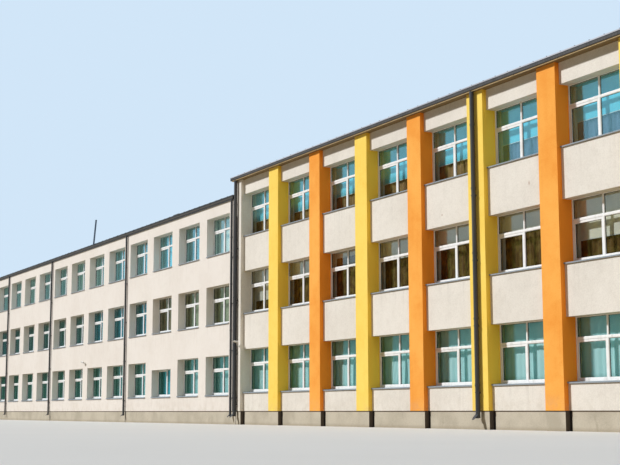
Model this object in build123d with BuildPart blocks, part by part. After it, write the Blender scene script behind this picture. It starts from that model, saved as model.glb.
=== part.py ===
from build123d import *
import math
import os

os.makedirs("parts", exist_ok=True)

# A three-storey school building with two wings in one line, at half its real size.
# X runs along the street front, Y into the building and Z up from the ground.
# The origin is on the ground, in the middle of the plan.
# Every length is in millimetres of the model: the real one is twice as long.

# Building depth and ground
depth = 6400
plinth_height = 280
plinth_recess = 12
wall_thickness = 255
floor_thickness = 110
roof_pitch = 3

# Left wing: a plain rendered wall with single windows
left_columns = 12
left_window_pitch = 1614
left_window_width = 1200
left_window_height = 850
left_sill_height = 335
left_storey = 1540
left_top_band = 255
left_inner_pier = 570
left_end_pier = 620
low_window_column = 2
low_window_drop = 200

# Right wing: windows and spandrels between coloured pilasters
bays = 7
bay_pitch = 1710
pilaster_width = 405
white_pilaster_width = 350
pilaster_projection = 77
right_window_height = 900
right_sill_height = 385
right_storey_step = 110
right_top_band = 315

# Both wings have as many storeys, and the right wing's are taller by the storey step
storeys = 3

# Windows
window_recess = 160
frame_depth = 35
frame_width = 38
mullion_width = 70
transom_width = 78
transom_share = 0.34
glass_thickness = 8
sill_overhang = 16
sill_front = 8
sill_back = 18

# Eaves
left_overhang = 40
right_overhang = 75
verge_overhang = 40
left_eaves_height = 100
right_eaves_height = 75
soffit_thickness = 18
band_thickness = 14

# Rainwater pipes
left_pipe_diameter = 50
right_pipe_diameter = 70
pipe_standoff = 14
shoe_height = 150
shoe_run = 110
shoe_angle = 60
bracket_width = 24
bracket_height = 16
brackets_per_pipe = 3
left_pipe_columns = (3, 7, 10)
right_pipe_pilaster = 5

# Roof mast
mast_diameter = 30
mast_length = 900
mast_base = 120
mast_base_height = 30
mast_from_junction = 10830
mast_setback = 420

# Wall cameras
camera_length = 110
camera_width = 46
camera_height = 50
camera_arm = 70
camera_arm_diameter = 16
camera_plate = 60
camera_plate_thickness = 8
camera_level = 1330
junction_camera_level = 1390
camera_column = 5

# Roof vent: a low box with a sloping lid, near the eaves of the left wing
vent_length = 320
vent_depth = 240
vent_height = 130
vent_lid_slope = 6
vent_from_junction = 4340
vent_setback = 300

# Places worked out from the sizes above
half_depth = depth / 2
left_length = left_inner_pier + (left_columns - 1) * left_window_pitch + left_window_width + left_end_pier
right_length = bays * bay_pitch
junction_x = (left_length - right_length) / 2
left_end_x = junction_x - left_length
right_end_x = junction_x + right_length
step_x = junction_x - white_pilaster_width
left_wall_length = step_x - left_end_x

left_face = -half_depth
right_face = -half_depth + pilaster_projection
left_inner = left_face + wall_thickness
right_inner = right_face + wall_thickness
left_frame_y = left_face + window_recess
right_frame_y = right_face + window_recess

right_storey = left_storey + right_storey_step
left_top_head = left_sill_height + (storeys - 1) * left_storey + left_window_height
right_top_head = right_sill_height + (storeys - 1) * right_storey + right_window_height
left_top = plinth_height + left_top_head + left_top_band
right_top = plinth_height + right_top_head + right_top_band
right_window_width = bay_pitch - pilaster_width

BOTTOM_LEFT = (Align.MIN, Align.MIN)
BOTTOM_CENTRE = (Align.CENTER, Align.MIN)


def left_window_x(column):
    """Left edge of a window in the left wing, counted from the junction."""
    first = junction_x - left_inner_pier - left_window_width
    return first - column * left_window_pitch


def bay_x(bay):
    """Left edge of the window in a bay of the right wing, counted from the junction."""
    return junction_x + bay * bay_pitch


def pilaster_x(number):
    """Left edge of a pilaster in the right wing: number 1 ends the first bay."""
    return junction_x + number * bay_pitch - pilaster_width


def left_sill_z(storey):
    return plinth_height + left_sill_height + storey * left_storey


def right_sill_z(storey):
    return plinth_height + right_sill_height + storey * right_storey


def elevation(y):
    """Upright plane at depth y, whose normal points out of the street front."""
    return Plane.XZ.offset(-y)


def wall_panels(panels, y, thickness):
    """Upright blocks (left, bottom, width, height) whose face is at y."""
    with BuildPart() as blocks:
        with BuildSketch(elevation(y)):
            for left, bottom, width, height in panels:
                with Locations((left, bottom)):
                    Rectangle(width, height, align=BOTTOM_LEFT)
        extrude(amount=-thickness)
    return blocks.part


def front_and_back(front):
    """A piece of the street front with its twin on the back."""
    with BuildPart() as both:
        add(front)
        mirror(about=Plane.XZ)
    return both.part


def back_of(front):
    with BuildPart() as back:
        mirror(front, about=Plane.XZ)
    return back.part


def save(piece, name):
    piece.label = name
    export_step(piece, f"parts/{name}.step")


# Plinths

with BuildPart() as left_plinth:
    with BuildSketch():
        with Locations((left_end_x, 0)):
            Rectangle(left_wall_length, depth - 2 * plinth_recess, align=(Align.MIN, Align.CENTER))
    extrude(amount=plinth_height)
save(left_plinth.part, "left_plinth")

right_plinth_face = right_face + plinth_recess
with BuildPart() as right_plinth:
    with BuildSketch():
        with Locations((step_x, 0)):
            Rectangle(right_end_x - step_x, -2 * right_plinth_face, align=(Align.MIN, Align.CENTER))
    extrude(amount=plinth_height)
save(right_plinth.part, "right_plinth")

pilaster_lefts = [pilaster_x(number) for number in range(1, bays + 1)]
base_panels = [(step_x, 0, white_pilaster_width, plinth_height)]
base_panels += [(left, 0, pilaster_width, plinth_height) for left in pilaster_lefts]
base_face = left_face + plinth_recess
pilaster_bases = front_and_back(wall_panels(base_panels, base_face, right_plinth_face - base_face))
save(pilaster_bases, "pilaster_bases")

# Left wing walls: level bands between the window rows, and piers between the windows


def left_band_panels():
    panels = []
    bottom = plinth_height
    for storey in range(storeys):
        sill = left_sill_z(storey)
        panels.append((left_end_x, bottom, left_wall_length, sill - bottom))
        bottom = sill + left_window_height
    panels.append((left_end_x, bottom, left_wall_length, left_top - bottom))
    return panels


def left_pier_panels():
    panels = []
    for storey in range(storeys):
        right = step_x
        for column in range(left_columns):
            left = left_window_x(column) + left_window_width
            panels.append((left, left_sill_z(storey), right - left, left_window_height))
            right = left_window_x(column)
        panels.append((left_end_x, left_sill_z(storey), right - left_end_x, left_window_height))
    return panels


left_front_bands = wall_panels(left_band_panels(), left_face, wall_thickness)
save(left_front_bands, "left_front_bands")
save(back_of(left_front_bands), "left_back_bands")

left_front_piers = wall_panels(left_pier_panels(), left_face, wall_thickness)
save(left_front_piers, "left_front_piers")
save(back_of(left_front_piers), "left_back_piers")

low_left = left_window_x(low_window_column)
low_top = left_sill_z(0) + left_window_height
low_panel = (low_left, low_top - low_window_drop, left_window_width, low_window_drop)
low_window_head = wall_panels([low_panel], left_face, wall_thickness)
save(low_window_head, "low_window_head")


def cross_wall(left, inner, top):
    """A wall across the building, between the inner faces of its long walls."""
    with BuildPart() as wall:
        with BuildSketch(Plane.XY.offset(plinth_height)):
            with Locations((left, 0)):
                Rectangle(wall_thickness, -2 * inner, align=(Align.MIN, Align.CENTER))
        extrude(amount=top - plinth_height)
    return wall.part


right_plate_top = right_top + soffit_thickness
left_end_wall = cross_wall(left_end_x, left_inner, left_top)
save(left_end_wall, "left_end_wall")
step_wall = cross_wall(step_x, right_inner, right_plate_top)
save(step_wall, "step_wall")
right_end_wall = cross_wall(right_end_x - wall_thickness, right_inner, right_plate_top)
save(right_end_wall, "right_end_wall")

# Right wing walls: pilasters over the full height, and spandrels under and over the windows

pilaster_thickness = pilaster_projection + wall_thickness


def pilasters(lefts, width):
    panels = [(left, plinth_height, width, right_top - plinth_height) for left in lefts]
    return front_and_back(wall_panels(panels, left_face, pilaster_thickness))


save(pilasters([step_x], white_pilaster_width), "white_pilasters")
save(pilasters(pilaster_lefts[0::2], pilaster_width), "yellow_pilasters")
save(pilasters(pilaster_lefts[1::2], pilaster_width), "orange_pilasters")


def spandrels(bottom, top):
    panels = [(bay_x(bay), bottom, right_window_width, top - bottom) for bay in range(bays)]
    return front_and_back(wall_panels(panels, right_face, wall_thickness))


spandrel_bottom = plinth_height
for storey, name in enumerate(("ground_spandrels", "first_floor_spandrels", "second_floor_spandrels")):
    save(spandrels(spandrel_bottom, right_sill_z(storey)), name)
    spandrel_bottom = right_sill_z(storey) + right_window_height
save(spandrels(spandrel_bottom, right_top), "top_spandrels")

# Floors


def upper_floors(left, right, inner, storey_height):
    with BuildPart() as floors:
        for storey in range(1, storeys):
            with BuildSketch(Plane.XY.offset(plinth_height + storey * storey_height)):
                with Locations((left, 0)):
                    Rectangle(right - left, -2 * inner, align=(Align.MIN, Align.CENTER))
            extrude(amount=-floor_thickness)
    return floors.part


left_floors = upper_floors(left_end_x + wall_thickness, step_x, left_inner, left_storey)
save(left_floors, "left_floors")
right_floor_left = step_x + wall_thickness
right_floors = upper_floors(right_floor_left, right_end_x - wall_thickness, right_inner, right_storey)
save(right_floors, "right_floors")

# Roofs: low double pitches with a dark band along the eaves and a verge at each end

pitch_rise = math.tan(math.radians(roof_pitch))


def roof_solid(left, length, half_width, bottom, eaves_height):
    ridge = bottom + eaves_height + half_width * pitch_rise
    with BuildPart() as roof:
        with BuildSketch(Plane.YZ.offset(left)):
            with BuildLine():
                Polyline(
                    (-half_width, bottom),
                    (half_width, bottom),
                    (half_width, bottom + eaves_height),
                    (0, ridge),
                    (-half_width, bottom + eaves_height),
                    close=True,
                )
            make_face()
        extrude(amount=length)
    return roof.part


def eaves_bands(left, length, half_width, bottom, height):
    """Dark metal bands with a rounded nose and a drip under it, on both long edges."""
    nose = band_thickness / 2
    with BuildPart() as bands:
        with BuildSketch(Plane.YZ.offset(left)):
            with BuildLine():
                Polyline(
                    (-half_width, bottom + height),
                    (-half_width, bottom),
                    (-half_width - band_thickness, bottom),
                    (-half_width - band_thickness, bottom + height - nose),
                    (-half_width - nose, bottom + height),
                    close=True,
                )
            make_face()
        extrude(amount=length)
        mirror(about=Plane.XZ)
    return bands.part


left_half_width = half_depth + left_overhang - band_thickness
left_roof_x = left_end_x - verge_overhang + band_thickness
left_roof_length = step_x - left_roof_x
left_roof = roof_solid(left_roof_x, left_roof_length, left_half_width, left_top, left_eaves_height)
save(left_roof, "left_roof")
left_bands = eaves_bands(left_roof_x, left_roof_length, left_half_width, left_top, left_eaves_height)
save(left_bands, "left_eaves_bands")
left_verge = roof_solid(
    left_roof_x - band_thickness, band_thickness, half_depth + left_overhang, left_top, left_eaves_height
)
save(left_verge, "left_verge")

right_half_width = half_depth + right_overhang - band_thickness
right_roof_x = step_x - verge_overhang + band_thickness
right_roof_length = right_end_x + verge_overhang - band_thickness - right_roof_x
right_roof = roof_solid(
    right_roof_x, right_roof_length, right_half_width, right_plate_top, right_eaves_height
)
save(right_roof, "right_roof")
right_bands = eaves_bands(
    right_roof_x, right_roof_length, right_half_width, right_plate_top, right_eaves_height
)
save(right_bands, "right_eaves_bands")

with BuildPart() as right_verges:
    for verge_x in (right_roof_x - band_thickness, right_roof_x + right_roof_length):
        add(
            roof_solid(
                verge_x, band_thickness, half_depth + right_overhang, right_plate_top, right_eaves_height
            )
        )
save(right_verges.part, "right_verges")

with BuildPart() as right_soffits:
    with BuildSketch(Plane.XY.offset(right_top)):
        with Locations((step_x, -right_half_width)):
            Rectangle(right_end_x - step_x, right_inner + right_half_width, align=BOTTOM_LEFT)
    extrude(amount=soffit_thickness)
    mirror(about=Plane.XZ)
save(right_soffits.part, "right_soffits")

# Windows


def window_frame(width, height, frame_y, barred, has_transom):
    """A white frame with its lower left corner at x = 0, z = 0, and its bars where they are asked."""
    lights_width = width - 2 * frame_width
    lights_height = height - 2 * frame_width
    with BuildPart() as frame:
        with BuildSketch(elevation(frame_y)):
            Rectangle(width, height, align=BOTTOM_LEFT)
            with Locations((frame_width, frame_width)):
                Rectangle(lights_width, lights_height, align=BOTTOM_LEFT, mode=Mode.SUBTRACT)
            if barred:
                with Locations((width / 2, frame_width)):
                    Rectangle(mullion_width, lights_height, align=BOTTOM_CENTRE)
            if has_transom:
                with Locations((width / 2, height * (1 - transom_share))):
                    Rectangle(lights_width, transom_width)
        extrude(amount=-frame_depth)
    return frame.part


def window_sill(width, face):
    """A sloping metal sill that stands out from the wall, with its left end at x = 0."""
    frame_y = face + window_recess
    with BuildPart() as sill:
        with BuildSketch(Plane.YZ):
            with BuildLine():
                Polyline(
                    (face - sill_overhang, 0),
                    (frame_y, 0),
                    (frame_y, sill_back),
                    (face - sill_overhang, sill_front),
                    close=True,
                )
            make_face()
        extrude(amount=width)
    return sill.part


def placed(piece, corners):
    """Copies of one piece with its lower left corner at each (x, z)."""
    with BuildPart() as copies:
        with Locations(*[(x, 0, z) for x, z in corners]):
            add(piece)
    return copies.part


def window_glass(corners, width, height, frame_y):
    panels = [(x, z, width, height) for x, z in corners]
    return wall_panels(panels, frame_y + frame_depth, glass_thickness)


left_corners = [
    (left_window_x(column), left_sill_z(storey))
    for storey in range(storeys)
    for column in range(left_columns)
]
right_corners = [
    (bay_x(bay), right_sill_z(storey))
    for storey in range(storeys)
    for bay in range(bays)
]
low_corner = (left_window_x(low_window_column), left_sill_z(0))
low_window_height = left_window_height - low_window_drop
tall_corners = [corner for corner in left_corners if corner != low_corner]

with BuildPart() as left_front_frames:
    add(placed(window_frame(left_window_width, left_window_height, left_frame_y, True, True), tall_corners))
    add(placed(window_frame(left_window_width, low_window_height, left_frame_y, True, False), [low_corner]))
save(left_front_frames.part, "left_front_frames")

with BuildPart() as left_front_glass:
    add(window_glass(tall_corners, left_window_width, left_window_height, left_frame_y))
    add(window_glass([low_corner], left_window_width, low_window_height, left_frame_y))
save(left_front_glass.part, "left_front_glass")

left_plain_frame = window_frame(left_window_width, left_window_height, left_frame_y, False, False)
save(back_of(placed(left_plain_frame, left_corners)), "left_back_frames")
left_back_glass = back_of(window_glass(left_corners, left_window_width, left_window_height, left_frame_y))
save(left_back_glass, "left_back_glass")

left_sills = placed(window_sill(left_window_width, left_face), left_corners)
save(left_sills, "left_front_sills")
save(back_of(left_sills), "left_back_sills")

right_frame = window_frame(right_window_width, right_window_height, right_frame_y, True, True)
save(placed(right_frame, right_corners), "right_front_frames")
right_plain_frame = window_frame(right_window_width, right_window_height, right_frame_y, False, False)
save(back_of(placed(right_plain_frame, right_corners)), "right_back_frames")
right_glass = window_glass(right_corners, right_window_width, right_window_height, right_frame_y)
save(right_glass, "right_front_glass")
save(back_of(right_glass), "right_back_glass")
right_sills = placed(window_sill(right_window_width, right_face), right_corners)
save(right_sills, "right_front_sills")
save(back_of(right_sills), "right_back_sills")

# Rainwater pipes, on brackets, with a shoe that throws the water off the plinth


def rain_pipe(x, diameter, top):
    """One pipe on the street front, from its mitred shoe near the ground to the eaves."""
    axis_y = left_face - pipe_standoff - diameter / 2
    tilt = math.radians(shoe_angle)
    outlet = Plane(
        origin=(x, axis_y, shoe_height),
        x_dir=(1, 0, 0),
        z_dir=(0, -math.sin(tilt), -math.cos(tilt)),
    )
    spacing = (top - plinth_height) / brackets_per_pipe
    brackets = [(x, left_face, plinth_height + spacing * (n + 0.5)) for n in range(brackets_per_pipe)]
    with BuildPart() as pipe:
        with BuildSketch(Plane.XY.offset(shoe_height)):
            with Locations((x, axis_y)):
                Circle(diameter / 2)
        extrude(amount=top - shoe_height)
        with BuildSketch(outlet):
            Circle(diameter / 2)
        extrude(amount=shoe_run)
        with Locations(*brackets):
            Box(
                bracket_width,
                pipe_standoff + diameter / 2,
                bracket_height,
                align=(Align.CENTER, Align.MAX, Align.CENTER),
            )
    return pipe.part


def rain_pipes(places, diameter, top):
    with BuildPart() as pipes:
        for x in places:
            add(rain_pipe(x, diameter, top))
    return pipes.part


left_pier_width = left_window_pitch - left_window_width
left_pipe_places = [left_window_x(column) - left_pier_width / 2 for column in left_pipe_columns]
left_pipe_places.append(step_x - left_pipe_diameter / 2 - pipe_standoff)
right_pipe_places = [
    step_x + white_pilaster_width / 2,
    pilaster_x(right_pipe_pilaster) + pilaster_width / 2,
]
with BuildPart() as left_downpipes:
    add(rain_pipes(left_pipe_places, left_pipe_diameter, left_top))
    add(back_of(rain_pipes(left_pipe_places[1::2], left_pipe_diameter, left_top)))
save(left_downpipes.part, "left_downpipes")
with BuildPart() as right_downpipes:
    add(rain_pipes(right_pipe_places, right_pipe_diameter, right_top))
    add(back_of(rain_pipes(right_pipe_places[1:], right_pipe_diameter, right_top)))
save(right_downpipes.part, "right_downpipes")

# Roof mast on its base plate

mast_x = junction_x - mast_from_junction
mast_y = left_face + mast_setback
left_eaves_top = left_top + left_eaves_height


def left_roof_z(y):
    return left_eaves_top + (left_half_width + y) * pitch_rise


def roof_block(x, y, length, width, height, slope):
    """A block that stands on the left roof, with its foot cut to the roof's fall."""
    front = y - width / 2
    back = y + width / 2
    with BuildPart() as block:
        with BuildSketch(Plane.YZ.offset(x - length / 2)):
            with BuildLine():
                Polyline(
                    (front, left_roof_z(front)),
                    (back, left_roof_z(back)),
                    (back, left_roof_z(back) + height + width * math.tan(math.radians(slope))),
                    (front, left_roof_z(back) + height),
                    close=True,
                )
            make_face()
        extrude(amount=length)
    return block.part


mast_foot = roof_block(mast_x, mast_y, mast_base, mast_base, mast_base_height, 0)
with BuildPart() as roof_mast:
    add(mast_foot)
    with BuildSketch(Plane.XY.offset(left_roof_z(mast_y + mast_base / 2) + mast_base_height)):
        with Locations((mast_x, mast_y)):
            Circle(mast_diameter / 2)
    extrude(amount=mast_length)
save(roof_mast.part, "roof_mast")

vent_x = junction_x - vent_from_junction
vent_y = left_face + vent_setback + vent_depth / 2
roof_vent = roof_block(vent_x, vent_y, vent_length, vent_depth, vent_height, vent_lid_slope)
save(roof_vent, "roof_vent")

# Wall cameras: a plate on the wall, an arm and a hooded housing


def wall_camera(x, height):
    level = plinth_height + height
    arm_y = left_face - camera_plate_thickness - camera_arm
    with BuildPart() as camera:
        with Locations((x, left_face, level)):
            Box(
                camera_plate,
                camera_plate_thickness,
                camera_plate,
                align=(Align.CENTER, Align.MAX, Align.CENTER),
            )
        with BuildSketch(elevation(left_face - camera_plate_thickness)):
            with Locations((x, level)):
                Circle(camera_arm_diameter / 2)
        extrude(amount=camera_arm)
        with Locations((x, arm_y, level)):
            Box(
                camera_length,
                camera_width,
                camera_height,
                align=(Align.CENTER, Align.MAX, Align.CENTER),
            )
    return camera.part


middle_camera_x = left_window_x(camera_column) - left_pier_width / 2
junction_camera_x = junction_x - camera_plate / 2
with BuildPart() as wall_cameras:
    add(wall_camera(middle_camera_x, camera_level))
    add(wall_camera(junction_camera_x, junction_camera_level))
save(wall_cameras.part, "wall_cameras")
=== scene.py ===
# %% [markdown]
# School building, three storeys, as a 1:2 scale model: the looks.
# The solid model comes packed as a fixed frame of named nodes, and this lesson dresses it piece by piece.
# The plaster, concrete and roofs keep their solids and get a material. Window frames, sills, gutters,
# pipes and cameras are modelled again in detail, each in the place of its solid.
# Everything is in metres, with the street front facing -Y and the ground at z = 0.

# %% Load the frame
import math
import random

import bmesh
import bpy
from mathutils import Matrix, Vector


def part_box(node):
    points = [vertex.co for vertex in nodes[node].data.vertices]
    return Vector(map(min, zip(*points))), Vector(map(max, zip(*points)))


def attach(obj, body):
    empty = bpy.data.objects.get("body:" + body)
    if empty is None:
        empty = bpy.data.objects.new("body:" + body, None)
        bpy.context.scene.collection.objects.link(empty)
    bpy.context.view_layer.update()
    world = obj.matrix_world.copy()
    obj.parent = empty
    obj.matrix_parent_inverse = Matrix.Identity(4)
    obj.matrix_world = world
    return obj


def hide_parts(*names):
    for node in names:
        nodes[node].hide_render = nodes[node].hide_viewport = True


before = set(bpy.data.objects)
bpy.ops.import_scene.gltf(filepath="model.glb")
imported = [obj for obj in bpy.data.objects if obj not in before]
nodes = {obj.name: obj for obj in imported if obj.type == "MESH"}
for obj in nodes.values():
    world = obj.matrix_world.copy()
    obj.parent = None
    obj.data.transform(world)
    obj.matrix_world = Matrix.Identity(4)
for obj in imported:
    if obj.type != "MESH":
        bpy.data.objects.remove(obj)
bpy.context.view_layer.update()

# %% [markdown]
# The camera stands low and to the right of the front, and looks along it to the left with a longish lens.
# Its turn is built from the direction it looks in, so that the small roll can be given as an angle.

# %% Camera
camera_place = Vector((27.6617, -14.4729, 0.2831))
camera_yaw = math.radians(28.7726)
camera_pitch = math.radians(8.1788)
camera_roll = math.radians(-0.0867)
camera_lens = 72.019


def camera_turn(yaw, pitch, roll):
    """The camera's axes as a matrix: it looks along -X turned by yaw towards +Y, and up by pitch."""
    forward = Vector((-math.cos(yaw) * math.cos(pitch), math.sin(yaw) * math.cos(pitch), math.sin(pitch)))
    level_right = Vector((math.sin(yaw), math.cos(yaw), 0))
    level_up = level_right.cross(forward)
    right = level_right * math.cos(roll) + level_up * math.sin(roll)
    up = level_up * math.cos(roll) - level_right * math.sin(roll)
    return Matrix((right, up, -forward)).transposed().to_4x4()


lens = bpy.data.cameras.new("photo_camera")
lens.lens = camera_lens
lens.sensor_width = 36
lens.clip_end = 500
camera = bpy.data.objects.new("photo_camera", lens)
camera.matrix_world = Matrix.Translation(camera_place) @ camera_turn(camera_yaw, camera_pitch, camera_roll)
bpy.context.scene.collection.objects.link(camera)
bpy.context.scene.camera = camera
print("camera at", [round(v, 2) for v in camera_place], "with a lens of", camera_lens, "mm")

# %% [markdown]
# A material here is a small graph of nodes. Finish holds such a graph: each of its words adds one node,
# joins it to what came before and gives its output. All patterns read Object coordinates, which are metres
# of the model, so a grain or a streak has its true size on every piece.


# %% Helpers for finishes
def chart(red, green, blue):
    """A colour from a paint chart, 0 to 255, as the linear values that a shader takes."""
    shares = [value / 255 for value in (red, green, blue)]
    return tuple(s / 12.92 if s < 0.04 else ((s + 0.055) / 1.055) ** 2.4 for s in shares) + (1.0,)


class Finish:
    """The nodes of a material, or of the world, round its shader."""

    def __init__(self, owner, shader="Principled BSDF"):
        owner.use_nodes = True
        self.owner, self.tree = owner, owner.node_tree
        self.shader = self.tree.nodes[shader]

    def add(self, kind, sockets, **settings):
        """Adds a node. Sockets are filled by name or number, with values or with outputs."""
        made = self.tree.nodes.new(kind)
        for name, value in settings.items():
            setattr(made, name, value)
        for name, value in sockets.items():
            if isinstance(value, bpy.types.NodeSocket):
                self.tree.links.new(value, made.inputs[name])
            else:
                made.inputs[name].default_value = value
        return made

    def maths(self, operation, first, second=0.0):
        return self.add("ShaderNodeMath", {0: first, 1: second}, operation=operation).outputs[0]

    def times(self, first, second):
        return self.maths("MULTIPLY", first, second)

    def plus(self, first, second):
        return self.maths("ADD", first, second)

    def fade(self, value, start, end, weight=None):
        """Runs smoothly from 0 where value is start to 1, or to the weight, where it is end."""
        sockets = {"Value": value, "From Min": start, "From Max": end}
        share = self.add("ShaderNodeMapRange", sockets, interpolation_type="SMOOTHSTEP").outputs[0]
        return share if weight is None else self.times(share, weight)

    def mix(self, share, first, second):
        return self.add("ShaderNodeMix", {0: share, 6: first, 7: second}, data_type="RGBA").outputs[2]

    def places(self, stretch=(1, 1, 1)):
        """Object coordinates in metres, multiplied by stretch along each axis."""
        read = self.add("ShaderNodeTexCoord", {}).outputs["Object"]
        return self.add("ShaderNodeMapping", {"Vector": read, "Scale": stretch}).outputs[0]

    def axes(self):
        return self.add("ShaderNodeSeparateXYZ", {"Vector": self.places()}).outputs

    def facing(self, axis):
        """How far the surface looks along an axis, from -1 to 1."""
        normal = self.add("ShaderNodeNewGeometry", {}).outputs["Normal"]
        return self.add("ShaderNodeSeparateXYZ", {"Vector": normal}).outputs[axis]

    def end_faces(self):
        """1 on the faces that look along the building, 0 on its fronts."""
        return self.fade(self.maths("ABSOLUTE", self.facing("X")), 0.5, 0.8)

    def repeat(self, value, pitch):
        """How far a point is past the last whole pitch, in metres."""
        return self.times(self.maths("FRACT", self.maths("DIVIDE", value, pitch)), pitch)

    def noise(self, scale, detail=3.0, stretch=(1, 1, 1)):
        sockets = {"Vector": self.places(stretch), "Scale": scale, "Detail": detail, "Roughness": 0.55}
        return self.add("ShaderNodeTexNoise", sockets).outputs["Fac"]

    def bump(self, height, distance, strength):
        sockets = {"Height": height, "Distance": distance, "Strength": strength}
        return self.add("ShaderNodeBump", sockets).outputs[0]

    def feed(self, socket, output):
        self.tree.links.new(output, self.shader.inputs[socket])

    def gloss(self, pattern, low, high):
        spread = self.add("ShaderNodeMapRange", {"Value": pattern, "To Min": low, "To Max": high})
        self.feed("Roughness", spread.outputs[0])

    def done(self, colour, *relief):
        """Feeds the colour, and a bump from (height, distance, strength), and gives the material."""
        self.feed("Base Color", colour)
        if relief:
            self.feed("Normal", self.bump(*relief))
        return self.owner


def start_finish(name, colour, roughness, **sockets):
    """A new material with a Principled shader."""
    finish = Finish(bpy.data.materials.new(name))
    for socket, value in {"Base_Color": colour, "Roughness": roughness, **sockets}.items():
        finish.shader.inputs[socket.replace("_", " ")].default_value = value
    return finish


print("helpers for finishes are ready")

# %% [markdown]
# The floor and the background are a plain pale studio. One large soft sun stands in front and to the left,
# where the real one stood, because its shadows tell how deep the pilasters and windows are. A second lamp
# as wide as the sky stands to the right and lights the sides that look that way, and the world fills the
# shade. Together they light a front wall at about 1, so a colour renders as it is written. The floor looks
# pale, but sends back the warm and weaker light of paving, which is what colours the undersides of the
# window heads: Light Path tells the two uses apart.

# %% Studio
sun_towards = Vector((-0.68, -1.0, 0.95))
sun_strength = 3.95
sun_softness = math.radians(4)
side_towards = Vector((1.0, 0.0, 0.3))
side_strength = 1.1
side_softness = math.radians(60)
fill_colour = (0.045, 0.06, 0.085, 1.0)
sky_colour = (0.64, 0.79, 0.94, 1.0)
floor_colour = (0.66, 0.64, 0.60, 1.0)
floor_shade = (0.63, 0.61, 0.57, 1.0)
floor_bounce = (0.36, 0.28, 0.17, 1.0)
floor_reach = 600


def far_lamp(name, towards, strength, softness, colour):
    """A lamp that lights everything from one direction. The softness is how wide it looks."""
    lamp = bpy.data.lights.new(name, "SUN")
    lamp.energy, lamp.angle, lamp.color = strength, softness, colour
    stand = bpy.data.objects.new(name, lamp)
    stand.rotation_mode = "QUATERNION"
    stand.rotation_quaternion = towards.to_track_quat("Z", "Y")
    bpy.context.scene.collection.objects.link(stand)


def seen_share(finish):
    """1 for what the camera sees, straight or in a mirror or through glass, and 0 for light that bounces."""
    ray = finish.add("ShaderNodeLightPath", {}).outputs
    seen = finish.maths("MAXIMUM", ray["Is Camera Ray"], ray["Is Glossy Ray"])
    return finish.maths("MAXIMUM", seen, ray["Is Transmission Ray"])


far_lamp("soft_sun", sun_towards, sun_strength, sun_softness, (0.96, 0.97, 0.99))
far_lamp("soft_side", side_towards, side_strength, side_softness, (0.95, 0.98, 1.0))
sky = Finish(bpy.data.worlds.new("studio"), "Background")
sky.feed("Color", sky.mix(seen_share(sky), fill_colour, sky_colour))
bpy.context.scene.world = sky.owner

bpy.ops.mesh.primitive_plane_add(size=floor_reach)
floor = bpy.context.active_object
floor.name = "studio_floor"
paving = start_finish("studio_floor", floor_colour, 0.9)
floor_look = paving.mix(paving.noise(0.5), floor_shade, floor_colour)
floor.data.materials.append(paving.done(paving.mix(seen_share(paving), floor_bounce, floor_look)))
bpy.context.scene.view_settings.view_transform = "Standard"
print("studio: sun towards", [round(v, 2) for v in sun_towards.normalized()])

# %% [markdown]
# The building is set out on two grids, one for each wing. The left wing has twelve window columns counted
# from the junction, the right wing has seven bays counted from the same line. A window's place is the
# middle of its sill line at the frame's outer face.

# %% Setting out
storeys = 3
plinth_top = 0.28
junction = 4.087
left_columns = 12
left_pitch = 1.614
left_width, left_height = 1.2, 0.85
left_storey, left_sill = 1.54, 0.615
left_face, left_frame, left_inner = -3.2, -3.04, -2.945
left_window_edge = junction - 1.77
low_column, low_height = 2, 0.65
bays = 7
bay_pitch = 1.71
right_width, right_height = 1.305, 0.9
right_storey, right_sill = 1.65, 0.665
right_face, right_frame, right_inner = -3.123, -2.963, -2.868
pilaster_face = -3.2
frame_depth = 0.035
left_middles = [left_window_edge - left_pitch * column + left_width / 2 for column in range(left_columns)]
bay_middles = [junction + bay_pitch * bay + right_width / 2 for bay in range(bays)]
left_sills = [left_sill + left_storey * storey for storey in range(storeys)]
right_sills = [right_sill + right_storey * storey for storey in range(storeys)]
low_place = (left_middles[low_column], left_frame, left_sill)
tall_places = [(x, left_frame, z) for z in left_sills for x in left_middles if (x, left_frame, z) != low_place]
bay_places = [(x, right_frame, z) for z in right_sills for x in bay_middles]
print("windows:", len(tall_places), "tall, 1 low,", len(bay_places), "in bays, on the front")

# %% [markdown]
# The walls are insulated and rendered: a thin mineral coat, rubbed to a sandy grain. Seen close it is rough,
# and from the street it shows as a faint mottling with pale and dark clouds. Rain leaves grey runs under
# the ends of the sills and a dusty band over the plinth. Each of these is one noise or one fade by place.
# The same solids are the rooms' walls, so the indoor side is told by place too and gets its own paint.

# %% Plaster
inside_light, inside_dark = chart(206, 196, 166), chart(188, 176, 146)
room_face = 2.93
room_end = 15.95
room_top = 4.95
splash_top = plinth_top + 0.3
ground_dust = chart(196, 184, 162)


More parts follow.
